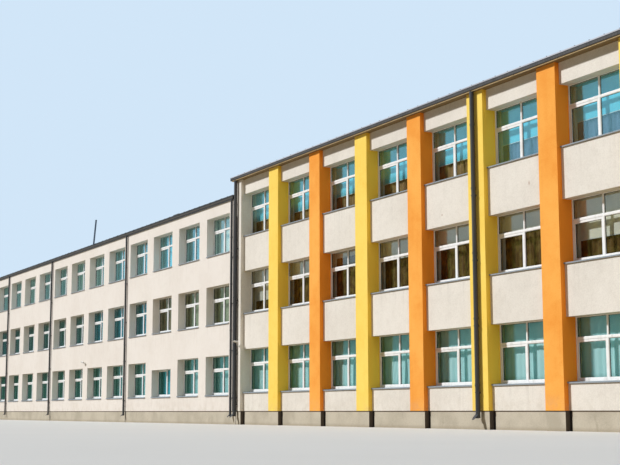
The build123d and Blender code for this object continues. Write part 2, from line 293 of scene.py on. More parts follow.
def sandy_plaster(name, light, dark, cloud=0.5, runs=0.2, sills=None, spots=(), side=None):
    """Rubbed plaster with clouds, runs under the sills (first level, storey), stains and ground dust."""
    finish = start_finish(name, light, 0.93, Specular_IOR_Level=0.25)
    x, y, z = finish.axes()
    clouds, blotches = finish.noise(0.9, 4.0), finish.noise(7.0, 4.0)
    grain, fine_grain = finish.noise(60.0), finish.noise(260.0, 2.0)
    streaks = finish.noise(1.0, 3.0, (14, 14, 0.55))
    shade = finish.fade(clouds, 0.35, 0.75, cloud)
    patterns = ((blotches, 0.4, 0.8, 0.3), (grain, 0.35, 0.75, 0.5), (streaks, 0.5, 0.8, runs))
    for pattern, low, high, weight in patterns:
        shade = finish.plus(shade, finish.fade(pattern, low, high, weight))
    colour = finish.mix(shade, light, dark)
    if sills:
        below = finish.repeat(finish.maths("SUBTRACT", sills[0], z), sills[1])
        wet = finish.times(finish.fade(below, 0.5, 0.0), finish.fade(streaks, 0.5, 0.75))
        stain = tuple(v * 0.8 for v in dark[:3]) + (1,)
        colour = finish.mix(finish.times(wet, 0.22), colour, stain)
    for centre, stretch, size, spot_colour in spots:
        far = finish.places()
        for operation, sockets in (("SUBTRACT", {1: centre}), ("MULTIPLY", {1: stretch}), ("LENGTH", {})):
            far = finish.add("ShaderNodeVectorMath", {0: far, **sockets}, operation=operation)
            far = far.outputs["Value" if operation == "LENGTH" else 0]
        ragged = finish.plus(far, finish.times(blotches, size * 0.8))
        colour = finish.mix(finish.fade(ragged, size * 1.4, size * 0.5, 0.75), colour, spot_colour)
    # the side colour goes on the faces that look along the building: a painted shade, deeper and more saturated
    # than the front
    if side:
        colour = finish.mix(finish.end_faces(), colour, side)
    darker_below = finish.times(finish.fade(z, splash_top, plinth_top), finish.fade(blotches, 0.35, 0.75))
    colour = finish.mix(finish.times(darker_below, 0.22), colour, ground_dust)
    indoors = finish.maths("LESS_THAN", z, room_top)
    for across, wall in ((x, room_end), (y, room_face)):
        within = finish.maths("LESS_THAN", finish.maths("ABSOLUTE", across), wall)
        indoors = finish.times(indoors, within)
    paint = finish.mix(finish.fade(blotches, 0.4, 0.8), inside_light, inside_dark)
    rough = finish.plus(grain, finish.times(fine_grain, 0.6))
    return finish.done(finish.mix(indoors, colour, paint), rough, 0.002, 0.6)


def plinth_plaster(name, side_shade_share, pilaster_shadow=0.0):
    """Base plaster with stains and damp, a top line of painted shadow and dirt,
    painted shade on its sides and a painted shadow beside each pilaster.
    """
    finish = start_finish(name, chart(192, 184, 166), 0.9, Specular_IOR_Level=0.3)
    x, _, z = finish.axes()
    clouds, grain = finish.noise(1.6, 5.0), finish.noise(70.0)
    stains = finish.noise(1.0, 4.0, (5, 5, 2.2))
    shade = finish.plus(finish.fade(clouds, 0.35, 0.75), finish.fade(grain, 0.35, 0.7, 0.5))
    colour = finish.mix(shade, chart(202, 193, 174), chart(178, 169, 150))
    for share, mark in (
        (finish.fade(stains, 0.62, 0.76, 0.5), chart(140, 128, 108)),
        (finish.fade(z, 0.07, 0.0, 0.5), chart(150, 136, 112)),
        # the dark band at the top is painted shadow under the wall's edge, and dirt
        (finish.fade(z, plinth_top - 0.022, plinth_top - 0.014), chart(100, 86, 72)),
    ):
        colour = finish.mix(share, colour, mark)
    # beside each pilaster the bay's plinth front is painted near black: the pilaster's painted shadow
    if pilaster_shadow:
        along = finish.repeat(finish.maths("SUBTRACT", x, junction), bay_pitch)
        colour = finish.mix(finish.fade(along, pilaster_shadow + 0.004, pilaster_shadow - 0.004), colour, chart(36, 30, 25))
    # the faces that look along the building are painted dark: painted shade on the pilaster bases' sides
    colour = finish.mix(finish.times(finish.end_faces(), side_shade_share), colour, chart(74, 64, 54))
    return finish.done(colour, grain, 0.002, 0.6)


def coat(finish, *names):
    """Gives a finish to nodes that keep their own solids."""
    for name in names:
        nodes[name].data.materials.clear()
        nodes[name].data.materials.append(finish)


rust = chart(150, 92, 48)
bay_stains = (
    ((13.62, right_face, 3.56), (2.2, 1.0, 1.0), 0.05, rust),
    ((11.406, right_face, 3.397), (1, 1, 1), 0.02, rust),
)
left_plaster = sandy_plaster(
    "left_wall_plaster", chart(238, 231, 222), chart(226, 217, 206), runs=0.05, sills=(left_sill, left_storey)
)
bay_plaster = sandy_plaster(
    "spandrel_plaster", chart(236, 230, 219), chart(216, 209, 197), runs=0.1,
    sills=(right_sill, right_storey), spots=bay_stains,
)
# The yellow and orange pilasters take a deeper, more saturated colour on their sides, a painted shade.
yellow_plaster = sandy_plaster(
    "yellow_plaster", chart(255, 224, 112), chart(248, 204, 84), cloud=0.4, runs=0.15, side=chart(255, 212, 74)
)
orange_plaster = sandy_plaster(
    "orange_plaster", chart(255, 184, 88), chart(243, 156, 60), cloud=0.7, runs=0.2, side=chart(255, 150, 45)
)
coat(left_plaster, "left_front_bands", "left_front_piers", "left_back_bands", "left_back_piers")
coat(left_plaster, "low_window_head", "left_end_wall")
coat(bay_plaster, "ground_spandrels", "first_floor_spandrels", "second_floor_spandrels", "top_spandrels")
coat(bay_plaster, "white_pilasters", "step_wall", "right_end_wall")
coat(yellow_plaster, "yellow_pilasters")
coat(orange_plaster, "orange_pilasters")
# The pilaster bases get painted shade on their sides, and the bays' plinth a painted shadow beside each pilaster.
coat(plinth_plaster("plinth_plaster", 0.0), "left_plinth")
coat(plinth_plaster("bay_plinth_plaster", 0.0, pilaster_shadow=0.048), "right_plinth")
coat(plinth_plaster("pilaster_base_plaster", 0.95), "pilaster_bases")
print("plaster on", sum("plaster" in node.data.materials[0].name for node in nodes.values()), "nodes")

# %% [markdown]
# Concrete, sheet metal and painted board cover the rest of the solids. The floors are grey concrete with
# fine pores, the roof is dark coated sheet with rain marks that run down its fall, the soffit is a board
# painted beige, with joints every metre.


# %% Concrete, roof sheet and soffit
def floor_concrete():
    """A white ceiling on the undersides of the floors and a brown covering on top."""
    finish = start_finish("floor_concrete", chart(150, 146, 138), 0.85)
    pores = finish.noise(60.0, 4.0)
    shade = finish.times(finish.fade(pores, 0.35, 0.7), finish.fade(finish.noise(1.3, 4.0), 0.25, 0.8))
    ceiling = finish.mix(shade, chart(214, 208, 192), chart(188, 182, 166))
    covering = finish.mix(shade, chart(150, 108, 66), chart(112, 76, 44))
    upward = finish.fade(finish.facing("Z"), 0.4, 0.6)
    return finish.done(finish.mix(upward, ceiling, covering), pores, 0.002, 0.5)


def coated_sheet(name, colour, worn, roughness, run_axis=(9, 0.6, 9), shine=0.5, top=None, top_from=0.5):
    """Painted sheet metal: faint oil-canning, dust that lies in runs, and a satin shine that varies."""
    finish = start_finish(name, colour, roughness, Metallic=0.0, Specular_IOR_Level=shine)
    dust, specks = finish.noise(1.0, 4.0, run_axis), finish.noise(45.0)
    shade = finish.plus(finish.fade(dust, 0.4, 0.75, 0.7), finish.fade(specks, 0.55, 0.8, 0.3))
    coloured = finish.mix(shade, colour, worn)
    # the top colour goes on the faces that look up more than the given level; on the sills it is a painted light
    if top:
        coloured = finish.mix(finish.fade(finish.facing("Z"), top_from, top_from + 0.3), coloured, top)
    finish.gloss(dust, roughness - 0.08, roughness + 0.2)
    return finish.done(coloured, finish.noise(2.2, 1.0), 0.004, 0.35)


def soffit_board():
    finish = start_finish("soffit_board", chart(196, 178, 142), 0.7)
    joint = finish.maths("SUBTRACT", finish.maths("FRACT", finish.axes()[0]), 0.5)
    gap = finish.fade(finish.maths("ABSOLUTE", joint), 0.006, 0.003)
    fibre = finish.noise(1.0, 3.0, (3, 40, 40))
    grained = finish.fade(fibre, 0.3, 0.75)
    # the front edge is light beige and the underside dark brown: the same board in painted light and painted shade
    edge = finish.mix(grained, chart(224, 198, 150), chart(206, 180, 132))
    darker_below = finish.mix(grained, chart(136, 112, 70), chart(112, 92, 56))
    board = finish.mix(finish.fade(finish.facing("Z"), -0.4, -0.8), edge, darker_below)
    return finish.done(finish.mix(gap, board, chart(88, 76, 58)), fibre, 0.001, 0.3)


along = (0.8, 9, 9)
roof_sheet = coated_sheet("roof_sheet", chart(84, 87, 90), chart(118, 117, 112), 0.5)
dark_sheet = coated_sheet("dark_eaves_sheet", chart(40, 39, 39), chart(66, 62, 56), 0.55, along, 0.25)
lip_sheet = coated_sheet("weathered_lip", chart(112, 100, 76), chart(84, 74, 56), 0.6, along, 0.2)
drip_sheet = coated_sheet("bare_drip_edge", chart(186, 188, 196), chart(150, 150, 156), 0.45, along)
line_sheet = coated_sheet("shadow_line", chart(18, 18, 20), chart(30, 29, 28), 0.6, along)
# The sills are pale bluish grey on all but their undersides, painted light and sky reflection, and near black
# underneath, a painted shade.
sill_sheet = coated_sheet(
    "sill_sheet", chart(40, 38, 36), chart(58, 54, 50), 0.5, (6, 2, 6), 0.3, chart(146, 155, 162), -0.7
)
fascia_sheet = coated_sheet("fascia_sheet", chart(78, 76, 74), chart(56, 54, 52), 0.55, (7, 9, 9), 0.25)
pipe_coat = coated_sheet("pipe_coat", chart(52, 53, 56), chart(84, 80, 74), 0.45, (9, 9, 0.7), 0.35)
coat(floor_concrete(), "left_floors", "right_floors")
coat(roof_sheet, "left_roof", "right_roof", "roof_vent")
coat(dark_sheet, "left_eaves_bands", "right_eaves_bands", "left_verge", "right_verges")
coat(soffit_board(), "right_soffits")
coat(sill_sheet, "left_front_sills", "left_back_sills", "right_front_sills", "right_back_sills")
coat(pipe_coat, "left_downpipes", "right_downpipes", "roof_mast", "wall_cameras")
print("sheet, concrete and board are on")

# %% [markdown]
# Window glass lets most light through and mirrors the rest. A thin pane doesn't bend what is behind it,
# so it can be a Transparent shader mixed with a Glossy one. The share of the mirror grows towards the
# edge-on view. A Fresnel node would take the pane's far side for the inside of a solid block of glass and
# turn it into a full mirror, so the share is the fifth power of Layer Weight's Facing, which has no sides.
# The light still reaches the curtains, at little cost. What the panes mirror stands across the street:
# paving and lawn for the ground floor, trees for the middle row and the sky for the top row. The mirror's
# tint changes with the height of the storey to stand for them; opposite the right wing's first bays the
# trees reach higher, and opposite the left wing they give way to gardens and an open street. Each change
# of the tint is written as the two places, along x or z, between which it runs.

# %% Glass
face_shine = 0.15
edge_shine = 1.7
mirrored_ground = (0.12, 0.40, 0.36, 1)
mirrored_trees = (0.10, 0.06, 0.01, 1)
mirrored_leaves = (0.30, 0.21, 0.04, 1)
mirrored_garden = (0.30, 0.33, 0.22, 1)
mirrored_street = (0.16, 0.42, 0.46, 1)
mirrored_crowns = (0.55, 0.58, 0.52, 1)
mirrored_sky = (0.55, 0.95, 1.0, 1)
tall_tree_rise = 0.82
tall_from, tall_to = (3.6, 4.0), (12.7, 12.4)
garden_from, street_from = (3.8, 3.5), (-1.1, -1.5)
trees_from, crowns_from, crowns_to, sky_from = (1.9, 2.1), (2.9, 3.0), (3.6, 3.5), (3.4, 3.6)


def pane_glass():
    finish = Finish(bpy.data.materials.new("pane_glass"))
    finish.tree.nodes.remove(finish.shader)
    clear = finish.add("ShaderNodeBsdfTransparent", {"Color": (0.97, 0.985, 0.985, 1)})
    x, _, z = finish.axes()
    tall_trees = finish.times(finish.fade(x, *tall_to), finish.fade(x, *tall_from))
    above_trees = finish.maths("SUBTRACT", z, finish.times(tall_trees, tall_tree_rise))
    leaves = finish.fade(finish.noise(11.0, 5.0), 0.42, 0.62)
    trees = finish.mix(leaves, mirrored_trees, mirrored_leaves)
    trees = finish.mix(finish.fade(x, *garden_from), trees, mirrored_garden)
    trees = finish.mix(finish.fade(x, *street_from), trees, mirrored_street)
    tint = finish.mix(finish.fade(z, *trees_from), mirrored_ground, trees)
    crowns = finish.times(finish.fade(z, *crowns_from), finish.fade(z, *crowns_to))
    tint = finish.mix(crowns, tint, mirrored_crowns)
    tint = finish.mix(finish.fade(above_trees, *sky_from), tint, mirrored_sky)
    ripple = finish.bump(finish.noise(1.6, 1.0), 0.004, 0.25)
    mirror = finish.add("ShaderNodeBsdfGlossy", {"Color": tint, "Roughness": 0.03, "Normal": ripple})
    edge_on = finish.add("ShaderNodeLayerWeight", {"Blend": 0.5}).outputs["Facing"]
    share = finish.plus(finish.times(finish.maths("POWER", edge_on, 5.0), edge_shine), face_shine)
    both = finish.add("ShaderNodeMixShader", {0: share, 1: clear.outputs[0], 2: mirror.outputs[0]})
    finish.tree.links.new(both.outputs[0], finish.tree.nodes["Material Output"].inputs["Surface"])
    return finish.owner


glass = pane_glass()
print("glass is ready")

# %% [markdown]
# Modelling happens in edit mode, as by hand. These helpers do what the mouse would: open a piece for
# editing, pick faces by where they are and which way they look, extrude them, and leave edit mode again.
# Finished pieces are copied to their places and joined, so that one object stands for one node.


# %% Helpers for modelling
def choose(*pieces):
    """Selects these pieces and nothing else. The first one is active."""
    bpy.ops.object.select_all(action="DESELECT")
    for piece in pieces:
        piece.select_set(True)
    bpy.context.view_layer.objects.active = pieces[0]


def open_piece(piece):
    choose(piece)
    bpy.ops.object.mode_set(mode="EDIT")
    bpy.ops.mesh.select_mode(type="FACE")
    bpy.ops.mesh.select_all(action="DESELECT")


def close_piece():
    bpy.ops.object.mode_set(mode="OBJECT")


def pick(piece, wanted):
    """Selects the faces for which wanted(at, to) is true: at is a face's middle, to is where it looks."""
    mesh = bmesh.from_edit_mesh(piece.data)
    mesh.select_mode = {"FACE"}
    for face in mesh.faces:
        face.select_set(bool(wanted(face.calc_center_median(), face.normal)))
    mesh.select_flush_mode()
    bmesh.update_edit_mesh(piece.data)


def extrude(x, y, z):
    bpy.ops.mesh.extrude_region_move(TRANSFORM_OT_translate={"value": (x, y, z)})


def resize(x, y, z):
    bpy.ops.transform.resize(value=(x, y, z))


def push(piece, step, wanted):
    """Picks faces and extrudes them by a step."""
    pick(piece, wanted)
    extrude(*step)


def blank(name, add_primitive, **settings):
    """Adds a primitive at its size and place, as the blank that a piece is shaped from."""
    bpy.ops.object.select_all(action="DESELECT")
    add_primitive(**settings)
    piece = bpy.context.active_object
    piece.name = piece.data.name = name
    bpy.ops.object.transform_apply(location=True, rotation=True, scale=True)
    return piece


def block(name, low, high):
    """A box between two corners."""
    middle = [(a + b) / 2 for a, b in zip(low, high)]
    sides = [b - a for a, b in zip(low, high)]
    return blank(name, bpy.ops.mesh.primitive_cube_add, size=1, location=middle, scale=sides)


def cut_across(piece, axis, where):
    """Cuts the whole piece with planes square to an axis, so that its faces are divided there."""
    for place in where:
        bpy.ops.mesh.select_all(action="SELECT")
        point = [place if n == axis else 0 for n in range(3)]
        bpy.ops.mesh.bisect(plane_co=point, plane_no=[int(n == axis) for n in range(3)])
    bpy.ops.mesh.select_all(action="DESELECT")


def modify(piece, kind, **settings):
    """Adds a modifier and applies it."""
    modifier = piece.modifiers.new(kind.lower(), kind)
    for name, value in settings.items():
        setattr(modifier, name, value)
    choose(piece)
    bpy.ops.object.modifier_apply(modifier=modifier.name)


def round_edges(piece, width, segments=1, angle=50):
    modify(piece, "BEVEL", width=width, segments=segments, limit_method="ANGLE", angle_limit=math.radians(angle))
    return piece


def smooth(piece):
    choose(piece)
    bpy.ops.object.shade_smooth_by_angle(angle=math.radians(35))


def dress(piece, *finishes):
    """Gives a piece its finishes, in place of any it has."""
    piece.data.materials.clear()
    for finish in finishes:
        piece.data.materials.append(finish)
    return piece


def joined(name, pieces):
    """Joins pieces into one object, whose mesh holds every place."""
    choose(*pieces)
    if len(pieces) > 1:
        bpy.ops.object.join()
    whole = bpy.context.active_object
    whole.name = whole.data.name = name
    return whole


def copies(piece, targets, behind=False):
    """Copies of a piece, each with its own mesh. Behind, it is turned to look out of the back wall."""
    made = []
    for x, y, z in targets:
        copy = piece.copy()
        copy.data = piece.data.copy()
        bpy.context.scene.collection.objects.link(copy)
        turn = Matrix.Rotation(math.pi, 4, "Z") if behind else Matrix.Identity(4)
        copy.data.transform(Matrix.Translation((x, -y if behind else y, z)) @ turn)
        made.append(copy)
    return made


def away(*pieces):
    """Removes the pattern pieces that copies were made from."""
    for piece in pieces:
        bpy.data.objects.remove(piece, do_unlink=True)


def spaced(start, end, spacing, margin=0.0):
    """Places at equal steps between two ends, as far from one end as from the other."""
    count = int((end - start - margin) / spacing)
    first = start + (end - start - (count - 1) * spacing) / 2
    return [first + n * spacing for n in range(count)]


def fit_piece(piece, slot, *replaced):
    """A finished piece rides on the building and may stand for nodes of the frame. Its slot is not used."""
    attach(piece, "root")
    if replaced:
        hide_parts(*replaced)
    triangles = sum(len(polygon.vertices) - 2 for polygon in piece.data.polygons)
    print(piece.name, "has", triangles, "triangles")


def fit_windows(kind, slot, stands_for, tall, low, bay):
    """Copies three patterns to every window. The low window is only in the front."""
    for side, made in (
        ("left_front", copies(tall, tall_places) + copies(low, [low_place])),
        ("right_front", copies(bay, bay_places)),
        ("left_back", copies(tall, tall_places + [low_place], behind=True)),
        ("right_back", copies(bay, bay_places, behind=True)),
    ):
        fit_piece(joined(f"{side}_{kind}", made), slot, f"{side}_{stands_for}")
    away(*dict.fromkeys((tall, low, bay)))


print("helpers for modelling are ready")

# %% [markdown]
# The window frames are white plastic profiles. A fixed outer frame holds a post and a transom. The lower
# left light opens, so it has a sash with a broad face; the other three only have a narrow bead. Both sit a
# little deeper than the frame, with a slope and a dark gasket round the pane. The outer frame starts as a
# block: planes cut its faces along the bars, and each light's front and back faces are bridged, which
# opens a hole with clean walls. A sash is a block too, inset twice.

# %% White plastic and gasket
plastic = start_finish("frame_plastic", chart(242, 242, 240), 0.32, Specular_IOR_Level=0.5)
film = plastic.noise(4.0, 4.0, (3, 3, 1.2))
plastic.gloss(film, 0.25, 0.5)
frame_plastic = plastic.done(plastic.mix(plastic.fade(film, 0.45, 0.8), chart(244, 244, 242), chart(222, 220, 214)))
rubber = start_finish("gasket_rubber", chart(40, 41, 43), 0.6)
rubber_grain = rubber.noise(180.0, 2.0)
rubber_colour = rubber.mix(rubber_grain, chart(34, 35, 37), chart(62, 62, 62))
gasket_rubber = rubber.done(rubber_colour, rubber_grain, 0.0005, 0.4)
print("finishes:", frame_plastic.name, gasket_rubber.name)

# %% [markdown]
# A window is drawn at its sill line from a few measures. The post and the transom divide it into lights,
# each given by its four edges and whether it opens.

# %% The lights of a window
edge_bar = 0.02
head_bar = 0.004
foot_bar = 0.024
fixed_foot = 0.052
post = 0.026
bay_post_shift = -0.015
transom = 0.032
transom_share = 0.334
sash_gap = 0.002
sash_set_back = 0.004
sash_face = 0.03
sash_bead = 0.005
fixed_face = 0.003
gasket_width = 0.002
bead_depth = 0.009
pane_thickness = 0.008


def lights_of(width, height, has_transom=True, shift=0.0):
    """The lights of one window as (left, right, bottom, top, opens). Only the lower left one opens."""
    half, split, head = width / 2, height * (1 - transom_share), height - head_bar
    sides = [(-half + edge_bar, shift - post / 2, True), (shift + post / 2, half - edge_bar, False)]
    levels = [(foot_bar, split - transom / 2, True), (split + transom / 2, head, False)]
    lights = []
    for left, right, side_opens in sides:
        for low, high, level_opens in levels if has_transom else [(foot_bar, head, True)]:
            opens = side_opens and level_opens
            lights.append((left, right, low if opens or low > foot_bar else fixed_foot, high, opens))
    return lights


print("a tall window has", len(lights_of(left_width, left_height)), "lights")

# %% [markdown]
# These three shape the parts of one window: the frame with its bars, a sash or bead ring, and the pane.


# %% Frame, sash and pane
def outer_frame(width, height, lights):
    """The fixed frame with its bars, opened at each of its lights."""
    bars = block("outer_frame", (-width / 2, 0, 0), (width / 2, frame_depth, height))
    open_piece(bars)
    cut_across(bars, 0, sorted({x for light in lights for x in light[:2]}))
    cut_across(bars, 2, sorted({z for light in lights for z in light[2:4]}))
    for left, right, bottom, top, _ in lights:
        pick(bars, lambda at, to: abs(to.y) > 0.9 and left < at.x < right and bottom < at.z < top)
        bpy.ops.mesh.bridge_edge_loops()
    close_piece()
    return dress(round_edges(bars, 0.0015), frame_plastic)


def sash(light):
    """A sash or a fixed bead ring: its face, a sloping bead and the gasket, on both sides of the pane."""
    left, right, bottom, top, opens = light
    gap = sash_gap if opens else 0.0
    low = (left + gap, sash_set_back, bottom + gap)
    high = (right - gap, frame_depth - sash_set_back, top - gap)
    leaf = block("sash", low, high)
    open_piece(leaf)
    pick(leaf, lambda at, to: abs(to.y) > 0.9)
    steps = ((sash_face if opens else fixed_face, 0), (sash_bead, -bead_depth / 2), (gasket_width, -bead_depth / 2))
    for thickness, depth in steps:
        bpy.ops.mesh.inset(thickness=thickness, depth=depth, use_individual=True)
    bpy.ops.mesh.bridge_edge_loops()
    close_piece()
    dress(leaf, frame_plastic, gasket_rubber)
    for polygon in leaf.data.polygons:
        across = [leaf.data.vertices[v].co.y for v in polygon.vertices]
        inwards = min(min(across) - low[1], high[1] - max(across))
        polygon.material_index = int(inwards > bead_depth * 0.4)
    return leaf


def pane(light):
    """The pane of one light: its edge sits in the gasket, half way through the frame."""
    left, right, bottom, top, opens = light
    rim = sash_bead + (sash_gap + sash_face if opens else fixed_face)
    middle = frame_depth / 2
    low = (left + rim, middle - pane_thickness / 2, bottom + rim)
    high = (right - rim, middle + pane_thickness / 2, top - rim)
    return dress(round_edges(block("pane", low, high), 0.001), glass)


print("frame, sash and pane can be modelled")

# %% [markdown]
# Three kinds of window are modelled once and copied to their places: the tall and the low one of the left
# wing, and the one in the bays. The back repeats the front, with a tall window in the low one's place.

# %% Windows in their places
window_kinds = (
    ("tall", left_width, left_height, lights_of(left_width, left_height)),
    ("low", left_width, low_height, lights_of(left_width, low_height, has_transom=False)),
    ("bay", right_width, right_height, lights_of(right_width, right_height, shift=bay_post_shift)),
)
windows = [
    joined(f"{kind}_window", [outer_frame(width, height, lights)] + [sash(light) for light in lights])
    for kind, width, height, lights in window_kinds
]
fit_windows("casements", "frame_white", "frames", *windows)
glazing = [joined(f"{kind}_glazing", [pane(light) for light in lights]) for kind, _, _, lights in window_kinds]
fit_windows("panes", "window_glass", "glass", *glazing)

# %% [markdown]
# Under each window lies a sill of folded sheet. It falls towards the street, turns down into a lip with a
# small kick that throws the drops off, and its ends stand up against the plaster. It is drawn from one
# thin block: the back edge is lifted, the front is extruded down in two steps, the ends are raised.

# %% Sills
sill_overhang = 0.016
sill_gauge = 0.003
sill_fall = 0.012
sill_lip = 0.013
sill_kick = 0.002
sill_end = 0.006
sill_play = 0.0005


def folded_sill(name, width, reveal):
    """A sill for an opening of this width, from the frame out to past the wall face."""
    half = width / 2 - sill_play
    front = -(reveal + sill_overhang)
    sill = block(name, (-half, front, -sill_gauge), (half, 0, 0))
    open_piece(sill)
    pick(sill, lambda at, to: to.y > 0.9)
    bpy.ops.transform.translate(value=(0, 0, sill_fall))
    push(sill, (0, -sill_gauge, 0), lambda at, to: to.y < -0.9)
    push(sill, (0, 0, -sill_lip), lambda at, to: to.z < -0.9 and at.y < front)
    extrude(0, -sill_kick, -sill_kick)
    cut_across(sill, 0, [-half + sill_gauge, half - sill_gauge])
    push(sill, (0, 0, sill_end), lambda at, to: to.z > 0.9 and abs(at.x) > half - sill_gauge)
    close_piece()
    return dress(round_edges(sill, 0.0008, angle=30), sill_sheet)


left_sill_pattern = folded_sill("left_sill", left_width, left_frame - left_face)
right_sill_pattern = folded_sill("right_sill", right_width, right_frame - right_face)
fit_windows("folded_sills", "sill_metal", "sills", left_sill_pattern, left_sill_pattern, right_sill_pattern)

# %% [markdown]
# The left wing's eaves carry a deep gutter straight on the wall: a dark front that rounds in at the foot,
# a rolled bead along its lip, and a strap every 0.6 m. A long block is enough to start from. Its low
# front edge is bevelled round, the top is inset and pressed down into a trough, and the bead is extruded
# from the lip. A raised strip along the middle of its front is weathered to a lighter line.

# %% Left gutter
left_end = -16.057
right_end = 16.057
step_left = 3.737
verge_reach = 0.04
eaves_bottom = 4.8
eaves_rise = 0.1
gutter_reach = 0.036
gutter_front = left_face - gutter_reach
gutter_sheet = 0.003
strip_foot, strip_head = 0.42, 0.5
strap_spacing = 0.6
strap_clear = 0.0036


def box_gutter(name):
    """A gutter along the eaves, from the wall face out to its reach, open at the top."""
    top, lip = eaves_bottom + eaves_rise, eaves_bottom + eaves_rise - gutter_sheet * 3
    strip_low, strip_high = (eaves_bottom + eaves_rise * share for share in (strip_foot, strip_head))
    gutter = block(name, (left_end - verge_reach, gutter_front, eaves_bottom), (step_left, left_face + 0.02, top))
    open_piece(gutter)
    bpy.ops.mesh.select_mode(type="EDGE")
    mesh = bmesh.from_edit_mesh(gutter.data)
    for edge in mesh.edges:
        middle = (edge.verts[0].co + edge.verts[1].co) / 2
        edge.select_set(abs(middle.y - gutter_front) < 1e-4 and abs(middle.z - eaves_bottom) < 1e-4)
    bmesh.update_edit_mesh(gutter.data)
    bpy.ops.mesh.bevel(offset=gutter_reach * 0.75, segments=6, affect="EDGES")
    bpy.ops.mesh.select_mode(type="FACE")
    pick(gutter, lambda at, to: to.z > 0.9)
    bpy.ops.mesh.inset(thickness=gutter_sheet * 2)
    extrude(0, 0, -eaves_rise * 0.55)
    cut_across(gutter, 2, [strip_low, strip_high, lip])
    push(gutter, (0, -gutter_sheet * 1.2, 0), lambda at, to: to.y < -0.9 and at.z > lip)
    push(gutter, (0, -gutter_sheet * 0.8, 0), lambda at, to: to.y < -0.9 and strip_low < at.z < strip_high)
    close_piece()
    dress(round_edges(gutter, 0.001, angle=60), dark_sheet, lip_sheet)
    for polygon in gutter.data.polygons:
        share = (polygon.center.z - eaves_bottom) / eaves_rise
        in_strip = strip_foot - 0.01 < share < strip_head + 0.01
        polygon.material_index = int(polygon.center.y < gutter_front and in_strip)
    return gutter


def gutter_strap():
    """A strap that folds over the lip and down the gutter's front."""
    half_rise = eaves_rise * 0.5
    strap = block("strap", (-0.008, -0.003, 0), (0.008, 0, half_rise))
    open_piece(strap)
    push(strap, (0, 0, 0.003), lambda at, to: to.z > 0.9)
    push(strap, (0, gutter_reach, 0), lambda at, to: to.y > 0.9 and at.z > half_rise)
    close_piece()
    return dress(round_edges(strap, 0.0008), dark_sheet)


gutter = box_gutter("left_gutter")
across = (left_end + step_left - verge_reach, 0, 0)
fit_piece(
    joined("left_gutters", copies(gutter, [(0, 0, 0)]) + copies(gutter, [across], behind=True)),
    "eaves_metal", "left_eaves_bands",
)
strap = gutter_strap()
strap_level = eaves_bottom + eaves_rise * 0.5
strap_places = [(x, gutter_front - strap_clear, strap_level) for x in spaced(left_end, step_left, strap_spacing)]
straps = copies(strap, strap_places) + copies(strap, strap_places, behind=True)
fit_piece(joined("left_gutter_straps", straps), "eaves_metal")
away(gutter, strap)

# %% [markdown]
# The right wing's roof edge stands out over a beige soffit. Its front is a grey sheet with fine upright
# ribs, under a shadow line and a drip edge of bare sheet, and a dark strip closes it below. The block's
# front is cut into these strips, the top and bottom ones are extruded out a few millimetres, and one rib
# with sloping sides is copied along the ribbed one.

# %% Right fascia
soffit_top = 5.198
fascia_rise = 0.075
fascia_front = pilaster_face - 0.07
rib_spacing = 0.055
rib_width = 0.014
rib_depth = 0.003
strip_shares = (0.12, 0.56, 0.74)


def ribbed_fascia(name, left, right):
    """A fascia board in sheet: a dark foot, upright ribs, a shadow line and a drip edge on top."""
    foot_level, line_level, drip_level = (soffit_top + fascia_rise * share for share in strip_shares)
    band = block(name, (left, fascia_front, soffit_top), (right, fascia_front + 0.012, soffit_top + fascia_rise))
    open_piece(band)
    cut_across(band, 2, (foot_level, line_level, drip_level))
    push(
        band, (0, -rib_depth - 0.001, 0),
        lambda at, to: to.y < -0.9 and not foot_level < at.z < drip_level,
    )
    close_piece()
    dress(round_edges(band, 0.0006), fascia_sheet, drip_sheet, dark_sheet, line_sheet)
    # the recessed strip under the drip edge takes the near black shadow line, a painted shadow, and faces that look
    # down take the dark sheet, a painted shade
    for polygon in band.data.polygons:
        level = polygon.center.z
        if level < foot_level + 1e-4 or polygon.normal.z <= -0.5:
            polygon.material_index = 2
        else:
            polygon.material_index = 1 if level > drip_level - 1e-4 else 3 if level > line_level else 0
    low = (-rib_width / 2, fascia_front - rib_depth, foot_level)
    rib = block("rib", low, (rib_width / 2, fascia_front + 0.001, line_level))
    open_piece(rib)
    pick(rib, lambda at, to: to.y < -0.9)
    resize(0.5, 1, 1)
    close_piece()
    dress(rib, fascia_sheet)
    spots = [(left + rib_spacing * (n + 0.5), 0, 0) for n in range(int((right - left) / rib_spacing))]
    whole = joined(name, [band] + copies(rib, spots))
    away(rib)
    return whole


fascia = ribbed_fascia("right_fascia", step_left - verge_reach, right_end + verge_reach)
fascias = copies(fascia, [(0, 0, 0)]) + copies(fascia, [(step_left + right_end, 0, 0)], behind=True)
away(fascia)
fit_piece(joined("right_ribbed_fascias", fascias), "eaves_metal", "right_eaves_bands")

# %% [markdown]
# Rainwater runs down round metal pipes with a collar at each joint, held off the wall by clamps. At the
# foot a bend throws the water clear of the plinth. The pipe is a circle that is extruded down; a collar is
# made by two scaled steps, and the bend by spinning the end ring about an axis in front of it. A Solidify
# modifier turns the open tube into sheet with a real mouth.

# %% Downpipes
collar_spacing = 1.0
collar_height = 0.03
collar_scale = 1.12
shoe_turn = math.radians(45)
shoe_foot = 0.17
shoe_bend = 2.2
pipe_sheet = 0.003
pipe_sides = 20
lowest_clamp = 0.55


def ring_down(distance, scale=1.0):
    """Extrudes the end ring down, and widens or narrows the new ring in its own plane."""
    bpy.ops.mesh.extrude_edges_move(TRANSFORM_OT_translate={"value": (0, 0, -distance)})
    if scale != 1.0:
        bpy.ops.transform.resize(value=(scale, scale, 1))


